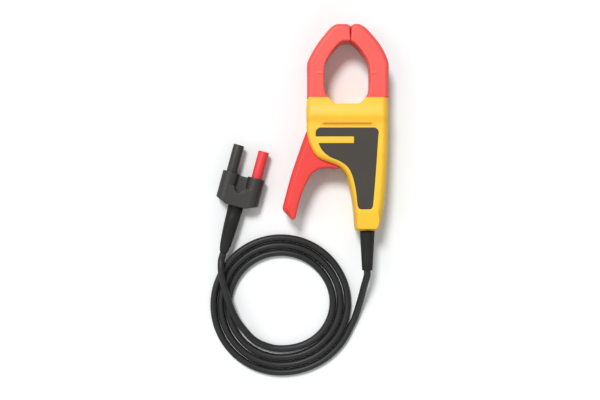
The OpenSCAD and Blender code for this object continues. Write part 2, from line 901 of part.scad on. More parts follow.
// Trigger: outer edge then inner edge from the joint with the jaws down to the tip
trigger_dir = unit([-0.25, -0.97]);
function tip_row(r) =
    let (d = trigger_extra * trigger_dir)
    [r[0] + d[0], low(r[1]) + d[1], r[2] + d[0], low(r[3]) + d[1]];
joint_fall = 0.35;
trigger_rungs = concat(
    [[joint_a[0], joint_a[1] - joint_fall, joint_b[0] - 0.6, joint_b[1] - joint_fall]],
    smooth(concat([
        [-30.3, -0.8, -5.4, -17],
        [-31.7, -4.4, -4.9, -27.3],
        [-33.4, -9.2, -12, -27.2],
        [-35.4, -15, -17.2, -27.2],
        [-37.8, -21.8, -21.6, -28.3],
        [-39.9, -28.1, -25.4, -30.9]
    ], [
        for (r = [
            [-41.8, -34.1, -28.4, -35],
            [-43.5, -40.3, -31.1, -40.6],
            [-45.2, -46.8, -33.7, -46.6],
            [-46.8, -53, -35.9, -54],
            [-47.5, -56.6, -37.4, -61],
            [-46.4, -59, -38.4, -64.2],
            [-44.2, -61.2, -40.4, -64.8]
        ]) tip_row(r)
    ]), 2)
);

module trigger_blade() {
    z0 = part_z - trigger_t / 2;
    z1 = part_z + trigger_t / 2;
    r = trigger_rungs;
    skin([
        flat_ring(r, 3.4, 0.6, z0),
        flat_ring(r, 0.7, 0.1, z0 + 1.7),
        flat_ring(r, 0, 0, z0 + 3),
        flat_ring(r, 0, 0, z1 - 3),
        flat_ring(r, 0.7, 0.1, z1 - 1.7),
        flat_ring(r, 3.4, 0.6, z1)
    ]);
}

module trigger() {
    color(red)
        difference() {
            union() {
                trigger_blade();
                tongue(0);
            }
            lever_screw_holes();
            translate([spring_x0 - seat_fit, spring_y, part_z])
                rotate([0, 90, 0])
                    cylinder(h = 12, r = spring_d / 2 + 0.4);
            upright(0, 0, 0, face_z, boss_r + 0.2);
        }
}

module lever_screws() {
    color(steel)
        for (s = lever_screw_at) {
            screw(s[0], s[1], lever_head_z, lever_screw_top, screw_d, screw_head_d, head_h);
        }
}

module pivot_bush() {
    color(brass)
        difference() {
            upright(0, 0, jaw_z0 + 0.05, jaw_z1 - 0.05, pin_d / 2 + bush_wall);
            upright(0, 0, jaw_z0 - past, jaw_z1 + past, pin_d / 2 + run_fit);
        }
}

module pivot_pin() {
    color(steel) upright(0, 0, pin_z0 + 0.05, pin_z1, pin_d / 2);
}

// Return spring from the trigger's pocket to the abutment
spring_turns = 8;
spring_r = (spring_d - spring_wire) / 2;
function spring_at(t) =
    let (a = 360 * spring_turns * t)
    [
        lerp(spring_x0 + spring_wire / 2, abutment_x - spring_wire / 2 - 0.05, t),
        spring_y + spring_r * cos(a),
        part_z + spring_r * sin(a)
    ];
spring_rings = 10 * spring_turns;
spring_path = [for (i = [0:spring_rings]) spring_at(i / spring_rings)];
spring_fine = [for (i = [0:40 * spring_turns]) spring_at(i / (40 * spring_turns))];
echo(spring_gap_mm = least_gap(spring_fine, 20, spring_wire));

module return_spring() {
    sides = [for (p = spring_path) unit([0, p[1] - spring_y, p[2] - part_z])];
    color(steel) tube(spring_path, sides, spring_wire, 6);
}

module circuit_board() {
    color("#2f6b45")
        difference() {
            box([board_x0, board_y0, board_z], [board_x1, board_y1, board_z + board_t]);
            for (s = board_screw_at) {
                upright(s[0], s[1], 0, face_z, board_screw_d / 2 + seat_fit);
            }
        }
}

// Two clamping diodes, a load resistor and four solder pillars
module board_components() {
    top = board_z + board_t + 0.03;
    color("#3a3632") {
        for (x = [3.3, 6.3]) {
            lying(board_x0 + x, board_y0 + 4.5, board_y0 + 9.7, top + 1.3, 1.3);
        }
        box([board_x1 - 5.8, board_y0 + 5.2, top], [board_x1 - 1.8, board_y0 + 9, top + 2.6]);
        for (side = [-1, 1]) {
            upright(cord_pad_x + side * pad_dx, board_y0 + 1.6, top, top + 0.5, 0.9);
            upright(lead_pad_x + side * pad_dx, board_y1 - 3, top, top + 0.5, 0.9);
        }
    }
}

module board_screws() {
    color(steel)
        for (s = board_screw_at) {
            upright(s[0], s[1], board_z + board_t + 0.02, board_z + board_t + 1.4, board_screw_d / 2 + 0.7);
            upright(s[0], s[1], wall + 1, board_z + board_t + 0.1, board_screw_d / 2);
        }
}

module cable_clamp() {
    reach = clamp_post_dx + 1.6;
    color(black)
        difference() {
            box([cord_x - reach, clamp_y - clamp_w / 2, clamp_z0],
                [cord_x + reach, clamp_y + clamp_w / 2, clamp_z1]);
            lying(cord_x, clamp_y - clamp_w, clamp_y + clamp_w, cord_z, cord_d / 2 + seat_fit / 2);
            for (side = [-1, 1]) {
                upright(cord_x + side * clamp_post_dx, clamp_y, 0, face_z, board_screw_d / 2 + seat_fit);
            }
        }
}

module clamp_screws() {
    color(steel)
        for (side = [-1, 1]) {
            x = cord_x + side * clamp_post_dx;
            upright(x, clamp_y, clamp_z1 + 0.02, clamp_z1 + 1.4, board_screw_d / 2 + 0.7);
            upright(x, clamp_y, cord_z - 7, clamp_z1 + 0.1, board_screw_d / 2);
        }
}

// Cord inside the strain relief and the clamp
cord_end_y = clamp_y + 5.5;
relief_end_y = -handle_len - relief_len;
module cord_entry() {
    color(black) lying(cord_x, relief_end_y, cord_end_y, cord_z, cord_d / 2);
}

// Insulated conductors from the cord to the board
core_d = 1.4;
module cable_cores() {
    pad_y = board_y0 + 1.6;
    pad_z = board_z + board_t + 0.6 + core_d / 2;
    run = pad_y - cord_end_y;
    color("#8c2a24")
        for (side = [-1, 1]) {
            x = cord_pad_x + side * pad_dx;
            wire([
                [cord_x + side, cord_end_y + meet_gap, cord_z],
                [cord_x + side, cord_end_y + 0.06 * run, cord_z],
                [cord_x + side, cord_end_y + 0.12 * run, cord_z],
                [cord_x + 1.2 + side, cord_end_y + 0.4 * run, cord_z - 1],
                [x, cord_end_y + 0.7 * run, pad_z + 1.4],
                [x, pad_y, pad_z]
            ], core_d);
        }
}

module strain_relief() {
    base = -handle_len;
    color(black)
        difference() {
            union() {
                lying(cord_x, base - 0.05, base + wall + flange_gap + 0.1, cord_z, neck_r);
                lying(cord_x, base + wall + flange_gap, base + wall + 2.6, cord_z, flange_r);
                translate([cord_x, base - 0.05, cord_z])
                    rotate([90, 0, 0])
                        cylinder(h = relief_len - 0.05, r1 = cord_d / 2 + 2.95, r2 = cord_d / 2 + 1.3);
            }
            lying(cord_x, relief_end_y - past, base + wall + 4, cord_z, cord_d / 2 + seat_fit / 2);
        }
}

// Flat coil: one turn is round, and between its right and its bottom it steps in by one pitch.
// The innermost turn draws in a little more towards its end.
coil_at = [cord_x - 63.5, relief_end_y - 26.7];
coil_pitch = cord_d + 0.46;
coil_from = -60;
coil_to = 1080;
step_from = 250;
end_ease = 1;
ease_turn = 60;
function coil_radius(u) =
    let (turn = floor(u / 360), rest = u - 360 * turn)
    coil_r - coil_pitch * (turn + step01((rest - step_from) / (360 - step_from)))
        - end_ease * step01((u - coil_to + ease_turn) / ease_turn);
floor_z = cord_d / 2;
function coil_point(u, z = floor_z) =
    let (a = -90 - u, r = coil_radius(u))
    [coil_at[0] + r * cos(a), coil_at[1] + r * sin(a), z];
function coil_dir(u) = unit(coil_point(u + 0.1) - coil_point(u - 0.1));

// The coil's ends run straight for one diameter, and so do the leads that meet them
coil_start = coil_point(coil_from);
coil_end = coil_point(coil_to);
start_dir = coil_dir(coil_from);
end_dir = coil_dir(coil_to);
loop_step = 360 / 24;
coil_path = concat(
    [coil_start, coil_start + cord_d * start_dir],
    [for (u = [coil_from + loop_step:loop_step:coil_to - 2 * loop_step]) coil_point(u)],
    [coil_end - cord_d * end_dir, coil_end]
);
coil_fine = [for (u = [coil_from:5:coil_to]) coil_point(u)];
echo(coil_gap_mm = least_gap(coil_fine, 36, cord_d));

// Route from the strain relief down to the coil
lead_in_route = concat(smooth([
    [cord_x, relief_end_y - meet_gap, cord_z],
    [cord_x, relief_end_y - 1.5, cord_z],
    [cord_x, relief_end_y - 3, cord_z],
    [cord_x - 0.6, relief_end_y - 6, 13.4],
    [cord_x - 1.4, relief_end_y - 9, 12.4],
    [cord_x - 2.4, relief_end_y - 13, 10.8],
    [cord_x - 3.4, relief_end_y - 18, 8.6],
    [cord_x - 4.6, relief_end_y - 23, 6.5],
    [cord_x - 5.9, relief_end_y - 28, 4.7],
    [cord_x - 7.3, relief_end_y - 33, floor_z + 0.7],
    [cord_x - 9.1, relief_end_y - 38, floor_z + 0.1],
    coil_point(coil_from - 12),
    coil_start - cord_d * start_dir
], 2), [coil_start - meet_gap * start_dir]);

// Route from the innermost turn, over the turns on the left, up to the plug
plug_at = [coil_at[0] - 29.8, coil_at[1] + 87];
plug_turn = -15.1;
plug_z = plug_t / 2;
plug_dir = [sin(-plug_turn), cos(plug_turn)];
body_back = -13.8;
boot_end = body_back - boot_len;
function plug_point(s) = [plug_at[0] + s * plug_dir[0], plug_at[1] + s * plug_dir[1], plug_z];
over_z = 1.5 * cord_d + 0.5;
lead_out_route = concat([coil_end + meet_gap * end_dir], smooth([
    coil_end + cord_d * end_dir,
    coil_point(coil_to + 27, floor_z + 0.9),
    coil_point(coil_to + 42, floor_z + 2.9),
    coil_point(coil_to + 57, over_z - 1),
    [coil_at[0] - 31.6, coil_at[1] - 11.9, over_z],
    [coil_at[0] - 34.8, coil_at[1] - 6.3, over_z],
    [coil_at[0] - 38.2, coil_at[1] + 1.7, over_z],
    [coil_at[0] - 41.2, coil_at[1] + 11.7, over_z],
    [coil_at[0] - 43.6, coil_at[1] + 21.7, over_z],
    [coil_at[0] - 44.3, coil_at[1] + 28.7, over_z - 0.5],
    plug_point(boot_end - 5.2),
    plug_point(boot_end - 2.6),
    plug_point(boot_end - meet_gap)
], 2));

function path_length(p) = [for (i = 0, s = 0; i < len(p); i = i + 1,
    s = i < len(p) ? s + norm(p[i] - p[i - 1]) : s) s][len(p) - 1];
echo(cord_length_mm = path_length(lead_in_route) + path_length(coil_fine) + path_length(lead_out_route));

module cord_lead_in() {
    color(black) tube(lead_in_route, level_sides(lead_in_route), cord_d, 10);
}

module cord_coil() {
    color(black) tube(coil_path, level_sides(coil_path), cord_d, 6);
}

module cord_lead_out() {
    color(black) tube(lead_out_route, level_sides(lead_out_route), cord_d, 10);
}

// Plug pieces are drawn with their axis along +Y and then turned into place
module plug_place() {
    translate([plug_at[0], plug_at[1], 0]) rotate([0, 0, plug_turn]) children();
}

plug_front = 10;
sleeve_r = plug_z;
plug_half_w = plug_pitch / 2 + sleeve_r;
shroud_back = 2;
contact_back = -4;
root_step = 0.3;

// The plug's sleeves run side by side to the rear. A web joins them in front and a bridge of nearly
// their height behind, with a hollow for the thumb in its front edge and chamfered rear corners.
bridge_s = 0.6;
corner_s = -10.2;
rear_half_w = 7;
thumb_r = 4.2;
bridge_step = 0.05;
module plug_form() {
    side_s = corner_s + past * (corner_s - body_back) / (plug_half_w - rear_half_w);
    intersection() {
        union() {
            box([-plug_pitch / 2, body_back, bridge_step],
                [plug_pitch / 2, bridge_s, plug_t - bridge_step]);
            box([-plug_pitch / 2, bridge_s - past, plug_z - 4],
                [plug_pitch / 2, plug_front - 1, plug_z + 2]);
            for (side = [-1, 1]) {
                lying(side * plug_pitch / 2, body_back, plug_front, plug_z, sleeve_r);
            }
        }
        prism([
            [-plug_half_w - past, plug_front + past],
            [-plug_half_w - past, side_s],
            [-rear_half_w, body_back],
            [rear_half_w, body_back],
            [plug_half_w + past, side_s],
            [plug_half_w + past, plug_front + past]
        ], -past, plug_t + past);
    }
}

module plug_body() {
    color(black)
        plug_place()
            difference() {
                plug_form();
                for (side = [-1, 1]) {
                    lying(side * plug_pitch / 2, shroud_back - 0.05, plug_front + past, plug_z,
                        shroud_d / 2 + 0.05);
                    lying(side * plug_pitch / 2, contact_back - 0.05, plug_front + past, plug_z,
                        contact_d / 2 + root_step + 0.05);
                }
                upright(0, bridge_s, plug_z + 2, plug_t + past, thumb_r);
            }
}

// Boot: tapers slowly from the body, and faster where it ends round the cord
boot_r = cord_d / 2 + 3.1;
boot_tip_r = cord_d / 2 + 0.35;
module plug_boot() {
    color(black)
        plug_place()
            translate([0, body_back - 0.02, plug_z])
                rotate([90, 0, 0])
                    rotate_extrude()
                        polygon([
                            [0, 0],
                            [boot_r, 0],
                            [boot_r - 0.5, 0.45 * boot_len],
                            [boot_r - 1.4, 0.8 * boot_len],
                            [boot_tip_r, boot_len - 0.04],
                            [0, boot_len - 0.04]
                        ]);
}

shroud_wall = 1;
module plug_shroud(side) {
    plug_place()
        difference() {
            lying(side * plug_pitch / 2, shroud_back, plug_front + shroud_len, plug_z, shroud_d / 2);
            lying(side * plug_pitch / 2, shroud_back - past, plug_front + shroud_len + past, plug_z,
                shroud_d / 2 - shroud_wall);
        }
}

module plug_shroud_black() {
    color(black) plug_shroud(-1);
}

module plug_shroud_red() {
    color("#d9424a") plug_shroud(1);
}

// Contact: a thicker root in the body and a straight pin with a domed end, short of the shroud's mouth
contact_front = plug_front + shroud_len - 2;
module plug_contact(side) {
    color(steel)
        plug_place() {
            lying(side * plug_pitch / 2, contact_back, shroud_back, plug_z, contact_d / 2 + root_step);
            lying(side * plug_pitch / 2, shroud_back - 0.5, contact_front - contact_d / 2, plug_z,
                contact_d / 2);
            translate([side * plug_pitch / 2, contact_front - contact_d / 2, plug_z]) sphere(d = contact_d);
        }
}

module plug_contact_black() {
    plug_contact(-1);
}

module plug_contact_red() {
    plug_contact(1);
}

front_housing();
rear_housing();
label_panel();
housing_screws();
fixed_jaw_front();
fixed_jaw_rear();
fixed_core();
coil_bobbin();
coil_winding();
winding_leads();
moving_jaw_front();
moving_jaw_rear();
moving_core();
trigger();
lever_screws();
pivot_bush();
pivot_pin();
return_spring();
circuit_board();
board_components();
board_screws();
cable_clamp();
clamp_screws();
cable_cores();
cord_entry();
strain_relief();
cord_lead_in();
cord_coil();
cord_lead_out();
plug_body();
plug_boot();
plug_shroud_black();
plug_shroud_red();
plug_contact_black();
plug_contact_red();
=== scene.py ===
"""Looks of a current clamp.

Moulded jaws, trigger and housing, a coiled cord and a twin shrouded plug on white paper.
"""

import json
import math

import bmesh
import bpy
from mathutils import Matrix, Vector


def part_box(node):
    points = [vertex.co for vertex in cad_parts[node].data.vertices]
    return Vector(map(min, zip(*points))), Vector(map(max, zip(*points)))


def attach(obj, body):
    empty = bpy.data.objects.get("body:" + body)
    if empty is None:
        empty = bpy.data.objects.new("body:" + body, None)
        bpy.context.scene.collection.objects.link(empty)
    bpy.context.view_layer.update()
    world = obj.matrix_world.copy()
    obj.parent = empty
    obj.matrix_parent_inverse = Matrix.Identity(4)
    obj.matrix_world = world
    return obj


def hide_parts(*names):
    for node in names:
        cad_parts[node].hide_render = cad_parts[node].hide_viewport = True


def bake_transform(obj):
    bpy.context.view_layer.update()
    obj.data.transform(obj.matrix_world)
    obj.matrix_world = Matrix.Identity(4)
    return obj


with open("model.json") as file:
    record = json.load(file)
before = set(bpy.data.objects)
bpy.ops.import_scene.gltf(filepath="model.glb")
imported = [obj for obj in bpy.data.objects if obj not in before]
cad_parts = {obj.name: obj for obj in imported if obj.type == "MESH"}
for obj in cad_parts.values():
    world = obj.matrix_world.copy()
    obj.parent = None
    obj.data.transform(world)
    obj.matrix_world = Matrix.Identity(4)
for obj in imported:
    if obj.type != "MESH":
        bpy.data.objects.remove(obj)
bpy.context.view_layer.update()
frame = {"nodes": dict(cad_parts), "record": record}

# All lengths in this script are millimetres in the part's frame; MM turns them into metres.
MM = 0.001
BODY_OF = {
    node: body
    for body, nodes in frame["record"]["behaviour"]["bodies"].items()
    for node in nodes
}
SLOT_OF = {part["node"]: part["material_slot"] for part in frame["record"]["subparts"]}


def link_piece(name, data):
    piece = bpy.data.objects.new(name, data)
    bpy.context.scene.collection.objects.link(piece)
    return piece


# Camera: straight above the table, in the photograph's frame

CAMERA_AT = (-34.8, -50.4, 650.0)
SENSOR_MM = 36.0
LENS_MM = 52.07
CLIP_NEAR, CLIP_FAR = 10.0, 20000.0


def add_camera():
    data = bpy.data.cameras.new("camera")
    data.sensor_width = SENSOR_MM
    data.lens = LENS_MM
    data.clip_start = CLIP_NEAR * MM
    data.clip_end = CLIP_FAR * MM
    camera = link_piece("camera", data)
    camera.location = Vector(CAMERA_AT) * MM
    bpy.context.scene.camera = camera


# Colours and shader nodes

# Sockets of the mix node when it mixes colours
MIX_FACTOR, MIX_FIRST, MIX_SECOND, MIX_OUT = 0, 6, 7, 2
# Pointiness where an edge starts to show, and where it is sharp
EDGE_START, EDGE_SHARP = 0.505, 0.56


def srgb(red, green, blue):
    """Linear RGBA of a colour given from 0 to 255, by the sRGB standard."""

    def linear(value):
        value /= 255.0
        return value / 12.92 if value <= 0.04045 else ((value + 0.055) / 1.055) ** 2.4

    return (linear(red), linear(green), linear(blue), 1.0)


def scaled(colour, factor):
    """A lighter or darker tone of a colour."""
    return tuple(min(c * factor, 1.0) for c in colour[:3]) + (1.0,)


def add_math(tree, operation, *values):
    """Output of a maths node that takes other outputs and plain numbers."""
    node = tree.nodes.new("ShaderNodeMath")
    node.operation = operation
    for value, socket in zip(values, node.inputs):
        if isinstance(value, bpy.types.NodeSocket):
            tree.links.new(value, socket)
        else:
            socket.default_value = value
    return node.outputs[0]


class Shader:
    """A material with its principled shader, and short ways to add nodes to it."""

    def __init__(self, name):
        self.material = bpy.data.materials.new(name)
        self.material.use_nodes = True
        self.tree = self.material.node_tree
        self.main = self.tree.nodes["Principled BSDF"]
        self.place = self.add("ShaderNodeTexCoord").outputs["Object"]

    def add(self, kind, **values):
        node = self.tree.nodes.new(kind)
        for key, value in values.items():
            setattr(node, key, value)
        return node

    def link(self, output, socket):
        self.tree.links.new(output, socket)

    def noise(self, per_mm, detail=3.0, rough=0.55, stretch=None):
        node = self.add("ShaderNodeTexNoise")
        node.inputs["Scale"].default_value = per_mm / MM
        node.inputs["Detail"].default_value = detail
        node.inputs["Roughness"].default_value = rough
        place = self.place
        if stretch:
            mapping = self.add("ShaderNodeMapping")
            mapping.inputs["Scale"].default_value = stretch
            self.link(place, mapping.inputs["Vector"])
            place = mapping.outputs["Vector"]
        self.link(place, node.inputs["Vector"])
        return node.outputs["Fac"]

    def ramp(self, factor, low, dark, high, light):
        """Colour that runs from dark at the low factor to light at the high one."""
        node = self.add("ShaderNodeValToRGB")
        for element, place, colour in zip(node.color_ramp.elements, (low, high), (dark, light)):
            element.position = place
            element.color = colour
        self.link(factor, node.inputs["Fac"])
        return node.outputs["Color"]

    def remap(self, value, start, end, low, high):
        """Runs from low where the value is start to high where it is end, and no further."""
        node = self.add("ShaderNodeMapRange")
        node.inputs["From Min"].default_value = start
        node.inputs["From Max"].default_value = end
        node.inputs["To Min"].default_value = low
        node.inputs["To Max"].default_value = high
        self.link(value, node.inputs["Value"])
        return node.outputs["Result"]

    def level(self, factor, low, high):
        """Runs from low at the factor 0 to high at 1."""
        return self.remap(factor, 0.0, 1.0, low, high)

    def blend(self, factor, first, second):
        """Moves the colour output first towards the fixed colour second."""
        node = self.add("ShaderNodeMix", data_type="RGBA")
        self.link(factor, node.inputs[MIX_FACTOR])
        self.link(first, node.inputs[MIX_FIRST])
        node.inputs[MIX_SECOND].default_value = second
        return node.outputs[MIX_OUT]

    def bump(self, heights):
        """Stacks (height output, strength, depth in mm) into the shader's normal."""
        last = None
        for height, strength, depth in heights:
            node = self.add("ShaderNodeBump")
            node.inputs["Strength"].default_value = strength
            node.inputs["Distance"].default_value = depth * MM
            self.link(height, node.inputs["Height"])
            if last:
                self.link(last, node.inputs["Normal"])
            last = node.outputs["Normal"]
        self.link(last, self.main.inputs["Normal"])

    def edges(self):
        """1 on convex edges, 0 on faces and in hollows."""
        pointiness = self.add("ShaderNodeNewGeometry").outputs["Pointiness"]
        return self.remap(pointiness, EDGE_START, EDGE_SHARP, 0.0, 1.0)

    def band(self, middle, half, soft):
        """1 within a band on the X-Y plane, fading to 0 past its sides; (x, y) sizes in mm."""
        axes = self.add("ShaderNodeSeparateXYZ")
        self.link(self.place, axes.inputs[0])
        within = []
        for axis in range(2):
            offset = add_math(self.tree, "SUBTRACT", axes.outputs[axis], middle[axis] * MM)
            away = add_math(self.tree, "ABSOLUTE", offset)
            side, end = half[axis] * MM, (half[axis] + soft[axis]) * MM
            within.append(self.remap(away, side, end, 1.0, 0.0))
        return add_math(self.tree, "MULTIPLY", *within)

    def paint(self, colour, roughness):
        self.link(colour, self.main.inputs["Base Color"])
        self.link(roughness, self.main.inputs["Roughness"])

    def set(self, **values):
        for key, value in values.items():
            self.main.inputs[key.replace("_", " ")].default_value = value


# Materials

# Plastic: clouds left by the flow in the mould, dark specks in the grain and rubbed edges
FLOW_PER_MM, FLOW_BUMP, FLOW_DEPTH = 0.035, 0.05, 0.15
SPECK_SHARE, SPECK_TONE, SPECK_DEPTH = 0.10, 0.80, 0.05
RUBBED_TONE = 1.25
# Painted shade in the groove below the hump: share of its mask, tone and power of its darker colour
GROOVE_SHADE_SHARE, GROOVE_SHADE_TONE, GROOVE_SHADE_POWER = 0.9, 0.72, 1.45
# Rubber: clouds and dust
CLOUD_PER_MM, DUST_PER_MM = 0.06, 4.0
DUST_SHARE, DUST_TONE, DUST_BUMP, DUST_DEPTH = 0.12, 2.0, 0.12, 0.04
# Metal: tarnish, and marks of the tool
TARNISH_PER_MM, TARNISH_TONE = 0.25, 0.82
TOOL_BUMP, TOOL_DEPTH = 0.06, 0.02
# Winding: waves of the wire
WIRE_WAVES, WIRE_WANDER, WIRE_BUMP, WIRE_DEPTH = 0.45, 0.4, 0.6, 0.15
# Board: glass weave below the resist
RESIST_PER_MM, WEAVE_PER_MM, WEAVE_BUMP, WEAVE_DEPTH = 0.3, 2.4, 0.08, 0.03


def groove_shade_colour(colour):
    """Painted shade: a fuller, darker tone of a plastic, painted into a groove where shade falls.
    """
    return tuple(GROOVE_SHADE_TONE * c**GROOVE_SHADE_POWER for c in colour[:3]) + (1.0,)


def moulded(
    name,
    colour,
    roughness,
    gloss=0.5,
    grain=0.10,
    grain_per_mm=3.2,
    mottle=0.05,
    worn=0.18,
    shaded_groove=None,
):
    """Injection-moulded plastic: eroded grain, flow mottling, polished edges, painted shade in a
    groove.
    """
    shader = Shader(name)
    cloud = shader.noise(FLOW_PER_MM, detail=4.0)
    fine = shader.noise(grain_per_mm, detail=2.0, rough=0.5)
    dark, light = scaled(colour, 1.0 - mottle), scaled(colour, 1.0 + mottle)
    tone = shader.ramp(cloud, low=0.30, dark=dark, high=0.70, light=light)
    tone = shader.blend(shader.level(fine, 0.0, SPECK_SHARE), tone, scaled(colour, SPECK_TONE))
    tone = shader.blend(shader.level(shader.edges(), 0.0, worn), tone, scaled(colour, RUBBED_TONE))
    # Painted shade: the band over the groove is darkened towards a deeper tone
    if shaded_groove:
        inside = shader.level(shader.band(*shaded_groove), 0.0, GROOVE_SHADE_SHARE)
        tone = shader.blend(inside, tone, groove_shade_colour(colour))
    shader.paint(tone, shader.level(cloud, low=roughness - 0.05, high=roughness + 0.07))
    shader.set(Specular_IOR_Level=gloss)
    shader.bump([(fine, grain, SPECK_DEPTH), (cloud, FLOW_BUMP, FLOW_DEPTH)])
    return shader.material


def rubbered(name, colour, roughness, gloss=0.26):
    """Soft jacket: dull, with dust in its grain."""
    shader = Shader(name)
    cloud = shader.noise(CLOUD_PER_MM, detail=4.0)
    fine = shader.noise(DUST_PER_MM, detail=2.0)
    dark, light = scaled(colour, 0.85), scaled(colour, 1.35)
    tone = shader.ramp(cloud, low=0.35, dark=dark, high=0.75, light=light)
    tone = shader.blend(shader.level(fine, 0.0, DUST_SHARE), tone, scaled(colour, DUST_TONE))
    shader.paint(tone, shader.level(fine, low=roughness - 0.06, high=roughness + 0.10))
    shader.set(Specular_IOR_Level=gloss)
    shader.bump([(fine, DUST_BUMP, DUST_DEPTH)])
    return shader.material


def metal(name, colour, roughness, stretch=(1.0, 1.0, 12.0), per_mm=1.2):
    """Turned or drawn metal with fine tool marks and slight tarnish."""
    shader = Shader(name)
    lines = shader.noise(per_mm, detail=4.0, stretch=stretch)
    cloud = shader.noise(TARNISH_PER_MM)
    dull = scaled(colour, TARNISH_TONE)
    tone = shader.ramp(cloud, low=0.30, dark=dull, high=0.72, light=colour)
    shader.paint(tone, shader.level(lines, low=roughness - 0.08, high=roughness + 0.14))
    shader.set(Metallic=1.0)
    shader.bump([(lines, TOOL_BUMP, TOOL_DEPTH)])
    return shader.material


def wound(name, colour):
    """Enamelled wire laid turn beside turn."""
    shader = Shader(name)
    wave = shader.add("ShaderNodeTexWave", bands_direction="Y")
    wave.inputs["Scale"].default_value = WIRE_WAVES / MM
    wave.inputs["Distortion"].default_value = WIRE_WANDER
    shader.link(shader.place, wave.inputs["Vector"])
    turns = wave.outputs["Fac"]
    tone = shader.ramp(turns, low=0.15, dark=scaled(colour, 0.45), high=0.75, light=colour)
    shader.paint(tone, shader.level(turns, low=0.28, high=0.38))
    shader.set(Metallic=0.85)
    shader.bump([(turns, WIRE_BUMP, WIRE_DEPTH)])
    return shader.material


def laminate(name, colour):
    """Circuit board: solder resist over a faint glass weave."""
    shader = Shader(name)
    weave = shader.add("ShaderNodeTexChecker")
    weave.inputs["Scale"].default_value = WEAVE_PER_MM / MM
    shader.link(shader.place, weave.inputs["Vector"])
    cloud = shader.noise(RESIST_PER_MM)
    dark, light = scaled(colour, 0.8), scaled(colour, 1.15)
    tone = shader.ramp(cloud, low=0.3, dark=dark, high=0.7, light=light)
    shader.paint(tone, shader.level(cloud, low=0.30, high=0.40))
    shader.bump([(weave.outputs["Fac"], WEAVE_BUMP, WEAVE_DEPTH)])
    return shader.material


YELLOW = srgb(255, 198, 38)
JAW_RED = srgb(240, 82, 73)
TRIGGER_RED = srgb(231, 56, 50)
PANEL_GREY = srgb(72, 68, 63)
BLACK = srgb(39, 38, 36)
JACKET = srgb(30, 30, 30)
SLEEVE = srgb(33, 34, 31)
PLUG_RED = srgb(232, 66, 70)
NYLON = srgb(226, 220, 204)
LEAD_RED = srgb(150, 40, 34)
STEEL = srgb(196, 198, 202)
CORE_STEEL = srgb(120, 122, 126)
BRASS = srgb(205, 168, 90)
COPPER = srgb(196, 112, 58)
BOARD_GREEN = srgb(40, 104, 66)
# Painted shade in the groove below the hump: middle, half size and soft border in mm
HUMP_GROOVE_SHADE = (-0.5, 4.2), (16.0, 0.8), (5.0, 1.0)
# Edges of the core's stacked sheets
SHEETS = {"stretch": (1.0, 1.0, 30.0), "per_mm": 2.0}


def make_materials():
    """Materials by the record's slot names; the front cover has one of its own, with painted shade
    in the groove below its hump.
    """
    return {
        "yellow_shell": moulded("yellow_plastic", YELLOW, 0.46, gloss=0.66),
        "yellow_front": moulded(
            "yellow_front_plastic", YELLOW, 0.46, gloss=0.66, shaded_groove=HUMP_GROOVE_SHADE
        ),
        "red_jaw": moulded("red_plastic", JAW_RED, 0.47, gloss=0.62),
        "red_trigger": moulded("red_trigger_plastic", TRIGGER_RED, 0.46, gloss=0.52),
        "grey_panel": moulded(
            "grey_panel_film",
            PANEL_GREY,
            0.46,
            gloss=0.12,
            grain=0.16,
            grain_per_mm=5.0,
            worn=0.10,
        ),
        "black_plastic": moulded("black_plastic", BLACK, 0.45, gloss=0.4, mottle=0.15, worn=0.25),
        "red_plug": moulded("red_plug_plastic", PLUG_RED, 0.38, gloss=0.32),
        "bobbin_white": moulded("bobbin_nylon", NYLON, 0.5),
        "black_rubber": rubbered("black_rubber", SLEEVE, 0.50, gloss=0.14),
        "cord_jacket": rubbered("cord_jacket", JACKET, 0.40),
        "lead_red": rubbered("lead_insulation", LEAD_RED, 0.45),
        "steel": metal("plated_steel", STEEL, 0.30),
        "core_steel": metal("core_sheet", CORE_STEEL, 0.42, **SHEETS),
        "brass": metal("turned_brass", BRASS, 0.30),
        "copper": wound("enamelled_copper", COPPER),
        "board_green": laminate("solder_resist", BOARD_GREEN),
    }


# Mesh helpers

MERGE_WITHIN = 0.0005
WELD_WITHIN = 0.002
SMOOTHING = 0.5
# The most of a side that the curve of a corner takes
CORNER_SHARE = 0.45


def mesh_from(work, name):
    """Closes a bmesh into a mesh with its faces turned outwards."""
    bmesh.ops.remove_doubles(work, verts=work.verts, dist=MERGE_WITHIN * MM)
    bmesh.ops.recalc_face_normals(work, faces=work.faces)
    mesh = bpy.data.meshes.new(name)
    work.to_mesh(mesh)
    work.free()
    return mesh


def apply_modifiers(piece, smooth=True):
    bpy.context.view_layer.update()
    graph = bpy.context.evaluated_depsgraph_get()
    mesh = bpy.data.meshes.new_from_object(piece.evaluated_get(graph))
    piece.modifiers.clear()
    piece.data = mesh
    if smooth:
        mesh.shade_smooth()


def weld(piece):
    joined = piece.modifiers.new("weld", "WELD")
    joined.merge_threshold = WELD_WITHIN * MM


def break_edges(piece, width, degrees):
    """Rounds the edges that turn by more than an angle."""
    bevel = piece.modifiers.new("edges", "BEVEL")
    bevel.width = width * MM
    bevel.segments = 2
    bevel.limit_method = "ANGLE"
    bevel.angle_limit = math.radians(degrees)


def coat(piece, material):
    piece.data.materials.clear()
    piece.data.materials.append(material)


def dress(piece, material, *nodes):
    """Gives a piece its material, puts it on the body of the CAD nodes it stands for, and hides
    them.
    """
    coat(piece, material)
    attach(piece, BODY_OF[nodes[0]])
    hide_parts(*nodes)
    return piece


def remould(name, node, material, voxel, soften=4, keep=0.3):
    """A moulding made from a CAD node: its shape with edges rounded as a mould leaves them."""
    piece = link_piece(name, frame["nodes"][node].data.copy())
    weld(piece)
    solid = piece.modifiers.new("even_mesh", "REMESH")
    solid.mode = "VOXEL"
    solid.voxel_size = voxel * MM
    soft = piece.modifiers.new("soft_edges", "SMOOTH")
    soft.factor = SMOOTHING
    soft.iterations = soften
    thin = piece.modifiers.new("fewer_faces", "DECIMATE")
    thin.ratio = keep
    apply_modifiers(piece)
    return dress(piece, material, node)


